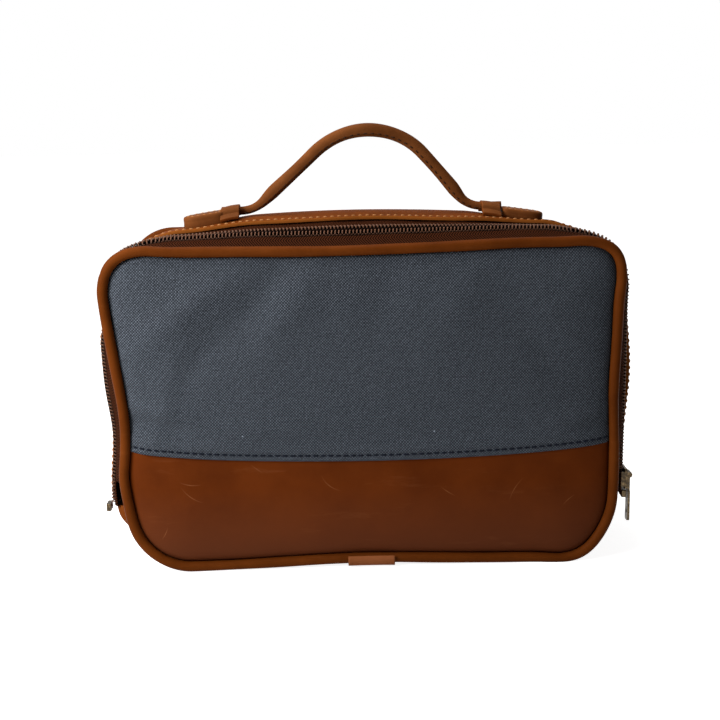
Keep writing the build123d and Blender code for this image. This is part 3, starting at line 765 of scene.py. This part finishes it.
def make_panel(prefix, side):
    """One face of the bag: a leather apron, and canvas above it with a turned hem and its stitches.

    The hem is a step in the canvas, with a rounded edge and a dimple under each stitch.
    """
    x, z = panel_grid(seam_bottom + panel_inset, hem_level + hem_lap, 90, 200, side, hem_edge="last")
    dents = 0.0004 * hump(x, 0.02, 0.03) * hump(z, 0.02, 0.01)
    dents -= 0.0005 * hump(x, -0.06, 0.04) * hump(z, 0.03, 0.012)
    out = panel_crown(x, z, crown - canvas) + dents
    apron = panel_skin(f"{prefix}_apron", x, z, out, side, apron_leather)

    x, z = panel_grid(hem_level, seam_top - panel_inset, 190, 250, side, hem_edge="first")
    above = z - hem_line(x)
    folded = 0.0007 * (1 - smooth(above, hem_width - 0.0012, hem_width + 0.0006))
    rounded = 0.0006 * (1 - smooth(above, 0, 0.0011))
    pull = 0.5 + 0.5 * np.cos(2 * pi * x / hem_pitch)
    dimple = 0.00055 * hump(above, hem_stitch_inset, 0.0008) * (0.45 + 0.55 * pull)
    out = panel_crown(x, z, crown) + puckers(x, z) + folded - rounded - dimple
    face = panel_skin(f"{prefix}_cloth", x, z, out, side, blue_canvas)

    line_x = -side * np.linspace(-1, 1, 240) * panel_half_width(np.array(hem_level), 0.0040)
    line_z = hem_line(line_x) + hem_stitch_inset
    line_out = panel_crown(line_x, line_z, crown) + puckers(line_x, line_z) + 0.00055
    line = settle(np.stack([line_x, side * (back + line_out), line_z], axis=-1))
    sewing = stitches(f"{prefix}_hem_stitches", line, np.tile([0.0, side, 0.0], (len(line), 1)), hem_pitch,
                      navy_thread, share=0.80, radius=0.00050)
    return thicken(apron, leather), thicken(face, canvas), sewing


def make_pad(prefix, side):
    """The padded inner face of a panel: a lined pad that swells a little between its bound edges."""
    x, z = panel_grid(seam_bottom + pad_inset, seam_top - pad_inset, 60, 90, -side, inset=pad_inset)
    swell = 0.0011 * (1 - np.exp(-np.maximum(outline_inset(x, z) - 0.006, 0) / 0.008))
    inner_face = min(abs(edge.y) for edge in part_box(f"{prefix}_lining"))
    out = inner_face - back - swell
    return thicken(panel_skin(f"{prefix}_pad", x, z, out, side, lining_cloth), pad_cloth)


def make_binding(prefix, side):
    """Tape that binds the raw edges inside the seam: a flat oval carried round the whole seam."""
    s = lengths_along(0, seam_length, 0.0022)[:-1]
    middles, out = wall_line(s, side * (back - 0.0048), -0.0032)
    return tube(f"{prefix}_binding", middles, unit(out), (0.0013, 0.0027), [zip_tape], closed=True, around=12)


def make_piping(prefix, side):
    """Leather piping round the seam: a round cord, fuller or slimmer by slow waves, with a join."""
    s = lengths_along(0, seam_length, 0.0014)[:-1]
    middles, out = wall_line(s, side * back, 0.0)
    join = 0.10 * hump(s, knots[0][3] + 0.011, 0.0007)
    radius = piping_radius * (1 + 0.025 * np.sin(s * 61) + 0.018 * np.sin(s * 143 + 1) - join)
    return tube(f"{prefix}_piping_skin", middles, unit(out), (radius, radius), [piping_leather],
                closed=True, around=22)


# Wall


def make_band():
    """The leather of the wall behind the zip, with its cut front edge and a row of stitches.

    The front edge wanders by two sines and lifts by a bell curve.
    """
    rows = 44
    s = lengths_along(left_foot, right_foot, 0.0022)
    edge = band_front + 0.0009 * np.sin(s * 37) + 0.0006 * np.sin(s * 83)
    across = np.linspace(0, 1, rows)[:, None]
    y = band_front + (edge - band_front) * (1 - across) ** 2 + (band_back + 0.0004 - band_front) * across
    points = on_wall(s, y, wall_height(s, y) + 0.0006 * hump(across, 0, 0.05))
    band = skin("band_leather_skin", points, [band_leather, cut_edge], np.linspace(0, 0.0585, rows), s)
    stitch_y = edge + edge_stitch_inset
    line, up = wall_line(s, stitch_y, wall_height(s, stitch_y) + 0.0005)
    sewing = stitches("band_stitches", line, up, edge_pitch, tan_thread, share=0.62, radius=0.00042)
    return thicken(band, leather, rim_finish=1, soften=0.0003), sewing


def make_lower_wall():
    """The lower corners, domed towards the sides and creased, and the flat base between them."""
    pieces = []
    for name, start, stop in (("left_corner_leather", left_base, left_foot),
                              ("right_corner_leather", right_foot, right_base)):
        s = lengths_along(start, stop, 0.0018)
        y = np.linspace(wall_front, wall_back, 60)[:, None]
        crease = 0.0005 * np.sin(y * 260 + s * 40) * hump(y, -0.02, 0.02)
        points = on_wall(s, y, wall_height(s, y) + crease * smooth(outside(s, 0)[1], 0.006, 0.02))
        pieces.append(thicken(skin(name, points, [band_leather], y[:, 0], s), leather))
    x = np.linspace(-base_half, base_half, 120)
    y = np.linspace(wall_front, wall_back, 40)[:, None]
    points = settle(np.stack(np.broadcast_arrays(-x, y, np.zeros_like(x * y)), axis=-1))
    return pieces, thicken(skin("base_leather", points, [band_leather], y[:, 0], x), leather)


def make_tapes():
    """Zip tapes: strips along a polyline in y, n and depth, which end at the coil.

    The lid's tape runs from above one lower corner to above the other, and a short tape closes
    the gap below each of its ends. All ripple by the product of two sines.
    """
    coil_edge, coil_foot = 0.0010, 0.0055
    lid_line = np.array([(front + 0.0024, 0.0012, 0), (front + 0.0055, 0.0035, 0),
                         (zip_line - coil_foot, zip_land, 0), (zip_line - coil_edge, zip_land, 0)])
    bag_line = np.array([(zip_line + coil_edge, zip_land, 0), (zip_line + coil_foot, zip_land, 0),
                         (band_front - 0.0016, 0.0091, 0.0018), (band_front + 0.0060, 0.0103, 0.0020)])
    end_line = np.array([(front + 0.0050, zip_land, 0), (zip_line - coil_foot, zip_land, 0),
                         (zip_line - 0.0030, zip_land, 0), (zip_line - coil_edge, zip_land, 0)])
    share = np.linspace(0, 1, 16)
    made = []
    for name, line, start, stop in (
            ("lid_tape", lid_line, lid_start, lid_stop), ("bag_tape", bag_line, left_foot, right_foot),
            ("left_end_tape", end_line, left_foot, lid_start - 0.0004),
            ("right_end_tape", end_line, lid_stop + 0.0004, right_foot)):
        s = lengths_along(start, stop, 0.0024)
        steps = running_length(line[:, :2])
        y, n, depth = (np.interp(share * steps[-1], steps, column)[:, None] for column in line.T)
        ripple = 0.00018 * np.sin(s * 190) * np.sin(share * pi)[:, None]
        from_coil = share if name == "bag_tape" else 1 - share
        points = on_wall(s, y, n + ripple, depth)
        made.append(thicken(skin(name, points, [zip_tape], from_coil * steps[-1], s), tape))
    return made


def make_teeth(name, side, start, stop, phase):
    """A row of coil turns: each is a slanting bead that climbs from the tape and ends in a head.

    The phase shifts the row along by a share of the pitch.
    """
    rings = [(0.0000, 0.00020, 0.00030, 0.00030), (0.0003, 0.00130, 0.00042, 0.00042),
             (0.0009, 0.00185, 0.00042, 0.00042), (0.0021, 0.00130, 0.00036, 0.00034),
             (0.0031, 0.00150, 0.00042, 0.00040), (0.0038, 0.00190, 0.00056, 0.00044),
             (0.0043, 0.00160, 0.00050, 0.00050), (0.0045, 0.00080, 0.00032, 0.00034)]
    slant = 0.16
    s = np.arange(start + tooth_pitch * (0.5 + phase), stop, tooth_pitch)
    at, up = wall_line(s, zip_line + side * tooth_reach * 0.84, zip_land)
    up, ahead = unit(up), unit(np.gradient(at, axis=0))
    inward = unit(np.array([0.0, -side, 0.0]) + slant * ahead)
    shape, faces = bead(rings)
    return strew(name, shape, faces, at, np.stack([inward, np.cross(up, inward), up], axis=1), [coil_nylon_painted_highlight])


def make_coil_sewing(name, side, start, stop):
    """The stitches that hold the coil to its tape: a row of beads just outside the coil."""
    s = lengths_along(start, stop, 0.0018)
    line, up = wall_line(s, zip_line + side * sewing_reach, zip_land + 0.0003)
    return stitches(name, line, up, tooth_pitch, bronze_thread, share=0.62, radius=0.00036)


def make_shade_cord(name, side, start, stop):
    """The dark cord that is sewn over one row of the coil: a flat oval along the row, nearly black as painted
    shade in the dip of the coil's turns.
    """
    s = lengths_along(start, stop, 0.0024)
    middles, out = wall_line(s, zip_line + side * 0.0016, zip_land + 0.0014)
    return tube(name, middles, unit(out), (0.0007, 0.0010), [coil_shade_cord], around=10)


def make_wall_lining():
    """The lining inside the wall, from the zip's tape to the back, round both corners and on the base."""
    s = lengths_along(left_foot, right_foot, 0.004)
    y = np.linspace(-0.014, lining_back, 24)[:, None]
    points = on_wall(s, y, wall_height(s, y), lining_depth + 0.0002 * np.sin(s * 140))
    pieces = [thicken(skin("wall_lining", points[::-1], [lining_cloth], y[:, 0], s), lining)]
    for name, start, stop in (("left_corner_lining", left_base, left_foot),
                              ("right_corner_lining", right_foot, right_base)):
        s = lengths_along(start, stop, 0.003)
        y = np.linspace(lining_front, lining_back, 30)[:, None]
        points = on_wall(s, y, wall_height(s, y), lining_depth - 0.0001)
        pieces.append(thicken(skin(name, points[::-1], [lining_cloth], y[:, 0], s), lining))
    x = np.linspace(-base_half, base_half, 60)
    y = np.linspace(lining_front, lining_back, 24)[:, None]
    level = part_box("base_lining")[1].z + 0.0002 * np.sin(x * 90) * np.cos(y * 70)
    points = np.stack(np.broadcast_arrays(x, y, level), axis=-1)
    return pieces + [thicken(skin("floor_lining", points, [lining_cloth], y[:, 0], x), floor_cloth)]


# Handle


def top_drop(x):
    """How far the wall's crest has come down at a place along the top, towards the corners."""
    return 0.0070 * smooth(np.abs(x), 0.045, 0.115)


def handle_line():
    """Lengths along the handle, its middle line and its upward directions.

    The slope is 0 on the feet, climbs evenly to 45 degrees round the foot's bend, holds along the
    leg, falls evenly to -45 over the crest and mirrors. The line is the running sum of its steps.
    The crest leans to the right, and the feet are lowered onto the wall.
    """
    foot_bend, crest_bend, slope, foot = 0.017, 0.040, pi / 4, 0.0102
    rise = grip_high.z - grip_radius - foot_level
    leg = (rise - (foot_bend + crest_bend) * (1 - cos(slope))) / sin(slope)
    spans = [foot, foot_bend * slope, leg, 2 * crest_bend * slope, leg, foot_bend * slope, foot]
    stops = np.concatenate([[0], np.cumsum(spans)])
    t = lengths_along(0, stops[-1], 0.0012)
    tilt = np.interp(t, stops, [0, 0, slope, slope, -slope, -slope, 0, 0])
    step, middle_tilt = np.diff(t), (tilt[1:] + tilt[:-1]) / 2
    x = grip_low.x + 0.0001 + np.concatenate([[0], np.cumsum(step * np.cos(middle_tilt))])
    z = foot_level + np.concatenate([[0], np.cumsum(step * np.sin(middle_tilt))])
    z = np.where(t > stops[-1] - foot, foot_level, z)
    lean = 0.0036 * smooth(z, foot_level, foot_level + rise)
    lean += 0.0012 * hump(z, foot_level + 0.018, 0.018) - 0.008 * x
    z = z - 0.0006 * (1 - smooth(z, foot_level, foot_level + 0.012))
    middles = np.stack([x + lean, np.zeros_like(x), z], axis=1)
    return t, middles, np.stack([-np.sin(tilt), np.zeros_like(x), np.cos(tilt)], axis=1)


def make_handle():
    """The rolled handle: a round leather roll whose edges meet in a sewn seam underneath.

    Its radius varies by two sines, shrinks where the feet are pressed, and is dented at the seam
    by a bell curve with a low ridge on each side.
    """
    t, middles, up = handle_line()
    radius = grip_radius * (1 + 0.03 * np.sin(t * 90) + 0.02 * np.sin(t * 210 + 2))
    pressed = 0.64 + 0.36 * smooth(middles[:, 2], foot_level, foot_level + 0.010)

    def dent(angle):
        """Scale of the radius at an angle from the seam."""
        away = np.minimum(angle, 2 * pi - angle)
        return 1 - 0.17 * hump(away, 0, 0.10) + 0.07 * hump(away, 0.34, 0.16)

    seam = radians(-140)
    sewn_at = seam + 0.36
    roll = tube("handle_roll", middles, up, (radius * pressed, radius * pressed * 0.97), [handle_leather],
                around=40, start=seam, dent=dent)
    out = np.cos(sewn_at) * up + np.sin(sewn_at) * np.array([0.0, 1.0, 0.0])
    line = middles + out * (0.00345 * pressed)[:, None]
    sewn = slice(9, -9)
    sewing = stitches("handle_stitches", line[sewn], out[sewn], grip_pitch, brown_thread,
                      share=0.6, radius=0.00034)
    return roll, sewing


def make_keeper(name, side):
    """A leather loop over the handle's foot: a strip carried over the roll, its ends flared on the wall.

    Its arch has the sine of an angle to the power 0.75 across, and its cosine to the power 0.6 up.
    It bows a little in its middle and slopes with the wall.
    """
    low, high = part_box(name)
    move = 0.0014 if side < 0 else -0.0017
    sink = 0.0003 if side < 0 else 0.0009
    inner_half_width = 0.0044
    reach = inner_half_width + leather
    arch = np.linspace(-0.5 * pi, 0.5 * pi, 22)
    over = np.stack([reach * np.sign(np.sin(arch)) * np.abs(np.sin(arch)) ** 0.75,
                     foot_level - 0.0020 + 0.0041 * np.cos(arch) ** 0.6], axis=1)
    foot_z = low.z + 0.0008
    flare = np.array([(reach + 0.0042, foot_z + 0.0012), (reach + 0.0026, foot_z + 0.0019),
                      (reach + 0.0010, foot_z + 0.0031)])
    profile = np.concatenate([flare * [-1, 1], over, flare[::-1]])
    across = np.linspace(-1, 1, 14)
    x = np.linspace(low.x - 0.0004, high.x + 0.0004, 14) + move
    bow = 0.00035 * np.cos(across * pi / 2)
    y = profile[:, :1] * (1 + 20 * bow)
    z = profile[:, 1:] + bow - side * 0.0009 * across - sink
    points = np.stack(np.broadcast_arrays(x, y, z), axis=-1)
    loop = skin(f"{name}_loop", points, [handle_leather, band_leather], running_length(profile), x)
    return thicken(loop, leather, rim_finish=1, soften=0.0004)


def make_tab(name, side):
    """A sewn leather tab: its outline is a rectangle with a round outer end, its face softly domed.

    The outline is a superellipse, of power 2.6 at the outer end and 7 at the inner one, and each
    ring is the outline scaled and set at a share of the tab's height.
    """
    low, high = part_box(name)
    half_long, half_wide, tall = (high.x - low.x) / 2 + 0.0006, (high.y - low.y) / 2, high.z - low.z
    middle = (high.x + low.x) / 2 + (0.0030 if side < 0 else -0.0002)
    sink = 0.0 if side < 0 else 0.0008
    angle = np.linspace(0, 2 * pi, 72, endpoint=False)
    power = np.where(side * np.cos(angle) > 0, 2 / 2.6, 2 / 7)
    edge_x = half_long * np.sign(np.cos(angle)) * np.abs(np.cos(angle)) ** power
    edge_y = half_wide * np.sign(np.sin(angle)) * np.abs(np.sin(angle)) ** power
    rings = np.array([
        (1.0, -0.7), (1.0, 0.42), (1.0, 0.50), (1.01, 0.56), (1.01, 0.84), (0.97, 0.96), (0.91, 1.0),
        (0.84, 1.0), (0.80, 0.965), (0.75, 0.98), (0.55, 1.02), (0.30, 1.04), (0.05, 1.05)])
    x, y = middle + rings[:, :1] * edge_x, rings[:, :1] * edge_y
    z = low.z + 0.0023 + tall * rings[:, 1:] - top_drop(x) - sink
    body = skin(f"{name}_leather", np.stack([x, y, z], axis=-1), [handle_leather],
                np.linspace(0, 0.014, len(rings)), np.linspace(0, 0.06, len(angle) + 1), closed=(False, True))
    shell = bmesh.new()
    shell.from_mesh(body.data)
    bmesh.ops.holes_fill(shell, edges=[edge for edge in shell.edges if edge.is_boundary], sides=0)
    bmesh.ops.recalc_face_normals(shell, faces=shell.faces)
    shell.to_mesh(body.data)
    shell.free()
    sewn_x = middle + 0.79 * edge_x
    sewn = np.stack([sewn_x, 0.79 * edge_y, low.z + 0.0023 + tall * 0.985 - top_drop(sewn_x) - sink], axis=1)
    sewn = np.concatenate([sewn, sewn[:1]])
    upward = np.tile([0.0, 0.0, 1.0], (len(sewn), 1))
    sewing = stitches(f"{name}_stitches", sewn, upward, tab_pitch, tan_thread, share=0.62, radius=0.0003)
    return body, sewing


def make_wrap():
    """The leather wrap over the piping's join: a strip round the front and the underside of the cord."""
    low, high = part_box("front_piping_wrap")
    x = np.linspace(low.x, high.x, 30) - 0.0040
    turn = np.linspace(radians(-215), radians(-75), 16)[:, None]
    radius = piping_radius + 0.0008
    y, z = front + radius * np.cos(turn), seam_bottom + radius * np.sin(turn)
    points = settle(np.stack(np.broadcast_arrays(x, y, z), axis=-1))
    return thicken(skin("join_wrap", points, [wrap_leather], radius * turn[:, 0], x), wrap_thickness)


lid_start, lid_stop = left_foot + lid_zip_foot - side_foot, right_foot - lid_zip_foot + side_foot
front_apron, front_face, front_sewing = make_panel("front", -1)
back_apron, back_face, back_sewing = make_panel("back", 1)
front_pad, back_pad = make_pad("front", -1), make_pad("back", 1)
front_edge, back_edge = make_binding("front", -1), make_binding("back", 1)
front_cord, back_cord = make_piping("front", -1), make_piping("back", 1)
band, band_sewing = make_band()
corners, base = make_lower_wall()
lid_tape, bag_tape, *end_tapes = make_tapes()
lid_teeth = make_teeth("lid_teeth", -1, lid_start, lid_stop, 0.0)
bag_teeth = make_teeth("bag_teeth", 1, left_foot, right_foot, 0.5)
left_end_teeth = make_teeth("left_end_teeth", -1, left_foot, lid_start, 0.0)
right_end_teeth = make_teeth("right_end_teeth", -1, lid_stop, right_foot, 0.0)
lid_coil_sewing = make_coil_sewing("lid_coil_sewing", -1, lid_start, lid_stop)
bag_coil_sewing = make_coil_sewing("bag_coil_sewing", 1, left_foot, right_foot)
lid_shade_cord = make_shade_cord("lid_shade_cord", -1, lid_start, lid_stop)
bag_shade_cord = make_shade_cord("bag_shade_cord", 1, left_foot, right_foot)
linings = make_wall_lining()
roll, roll_sewing = make_handle()
keepers = [make_keeper("handle_keeper_left", -1), make_keeper("handle_keeper_right", 1)]
tabs = [make_tab("handle_tab_left", -1), make_tab("handle_tab_right", 1)]
wrap = make_wrap()

for piece in (front_apron, front_face, front_sewing, front_pad, front_edge, front_cord, lid_tape,
              lid_teeth, lid_shade_cord, lid_coil_sewing, wrap):
    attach(piece, "lid")
for piece in (back_apron, back_face, back_sewing, back_pad, back_edge, back_cord, band, band_sewing,
              base, bag_tape, bag_teeth, left_end_teeth, right_end_teeth, *end_tapes, bag_shade_cord,
              bag_coil_sewing, *linings, *keepers, *tabs[0], *tabs[1]):
    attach(piece, "bag")
for piece in (roll, roll_sewing):
    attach(piece, "handle")
for corner in corners:
    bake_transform(corner)

for piece, nodes in (
        (front_face, ["front_canvas"]), (front_apron, ["front_leather"]),
        (front_pad, ["front_interlining", "front_foam", "front_board", "front_lining"]),
        (front_edge, ["front_binding"]), (front_cord, ["front_piping"]), (wrap, ["front_piping_wrap"]),
        (lid_tape, ["zip_tape_lid"]), (lid_teeth, ["zip_coil_lid"]),
        (back_face, ["back_canvas"]), (back_apron, ["back_leather"]),
        (back_pad, ["back_interlining", "back_foam", "back_board", "back_lining"]),
        (back_edge, ["back_binding"]), (back_cord, ["back_piping"]), (bag_tape, ["zip_tape_body"]),
        (bag_teeth, ["zip_coil_body"]), (end_tapes[0], ["zip_end_left"]), (end_tapes[1], ["zip_end_right"]),
        (band, ["gusset_band"]), (base, ["bottom_gusset"]), (corners[0], ["gusset_corner_left"]),
        (corners[1], ["gusset_corner_right"]), (linings[0], ["gusset_lining"]),
        (linings[1], ["corner_lining_left"]), (linings[2], ["corner_lining_right"]),
        (linings[3], ["base_lining", "base_board"]), (roll, ["handle_grip", "handle_core"]),
        (keepers[0], ["handle_keeper_left"]), (keepers[1], ["handle_keeper_right"]),
        (tabs[0][0], ["handle_tab_left"]), (tabs[1][0], ["handle_tab_right"])):
    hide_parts(*nodes)

for name in ("zip_slider", "zip_puller", "zip_stop_left", "zip_stop_right"):
    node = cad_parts[name]
    node.data.materials.clear()
    node.data.materials.append(dark_brass)


# Camera, floor and light


def looking(tree):
    """1 for the rays of the camera, of reflections and of clear materials, and 0 for the rest."""
    rays = put(tree, "ShaderNodeLightPath").outputs
    mirrored = calc(tree, "MAXIMUM", rays["Is Camera Ray"], rays["Is Glossy Ray"])
    return calc(tree, "MAXIMUM", mirrored, rays["Is Transmission Ray"])


def make_floor():
    """A pale floor that the camera sees almost white, with the bag's shadow kept."""
    bpy.ops.mesh.primitive_plane_add(size=8.0, location=(0, 0, 0))
    floor = bpy.context.object
    floor.name = "floor"
    finish, tree, shader, _ = start_finish("pale_floor")
    feed(tree, shader, {
        "Base Color": (0.80, 0.80, 0.80, 1.0), "Roughness": 0.9, "Emission Color": (1.0, 1.0, 1.0, 1.0),
        "Emission Strength": calc(tree, "MULTIPLY", looking(tree), 0.90)})
    floor.data.materials.append(finish)


def make_world():
    """A soft even sky that the camera and reflections see white."""
    world = bpy.data.worlds.new("soft_sky")
    world.use_nodes = True
    bpy.context.scene.world = world
    tree = world.node_tree
    feed(tree, tree.nodes["Background"], {
        "Color": (1.0, 1.0, 1.0, 1.0), "Strength": calc(tree, "MULTIPLY_ADD", looking(tree), 0.90, 0.10)})


def add_lamp(name, place, aim, size, power, tint=(1.0, 1.0, 1.0)):
    """A square soft lamp at a place, turned to an aim."""
    data = bpy.data.lights.new(name, "AREA")
    data.size = size
    data.energy = power
    data.color = tint
    lamp = bpy.data.objects.new(name, data)
    lamp.location = place
    lamp.rotation_euler = (Vector(aim) - Vector(place)).to_track_quat("-Z", "Y").to_euler()
    bpy.context.scene.collection.objects.link(lamp)


def make_camera():
    """The photograph's camera: a distance back from an aim, at its elevation, with a slight turn and roll."""
    aim = Vector((-0.00188, 0.0, 0.09975))
    distance, elevation, turn, roll_angle = 0.6569, radians(12.73), radians(-1.61), radians(-1.03)
    behind = Vector((sin(turn) * cos(elevation), -cos(turn) * cos(elevation), sin(elevation)))
    right = Vector((0, 0, 1)).cross(behind).normalized()
    up = behind.cross(right)
    rolled_right = cos(roll_angle) * right + sin(roll_angle) * up
    rolled_up = cos(roll_angle) * up - sin(roll_angle) * right
    data = bpy.data.cameras.new("camera")
    data.sensor_width = 36.0
    data.lens = 61.35
    camera = bpy.data.objects.new("camera", data)
    turned = Matrix((rolled_right, rolled_up, behind)).transposed().to_4x4()
    camera.matrix_world = Matrix.Translation(aim + distance * behind) @ turned
    bpy.context.scene.collection.objects.link(camera)
    bpy.context.scene.camera = camera


make_floor()
make_world()
add_lamp("window", (-0.39, -0.27, 0.31), (-0.04, 0.0, 0.09), 0.24, 3.3)
add_lamp("top_light", (-0.15, 0.04, 0.80), (0.0, 0.0, 0.15), 0.5, 5.5, (1.0, 0.97, 0.93))
make_camera()
bpy.context.scene.view_settings.view_transform = "Standard"
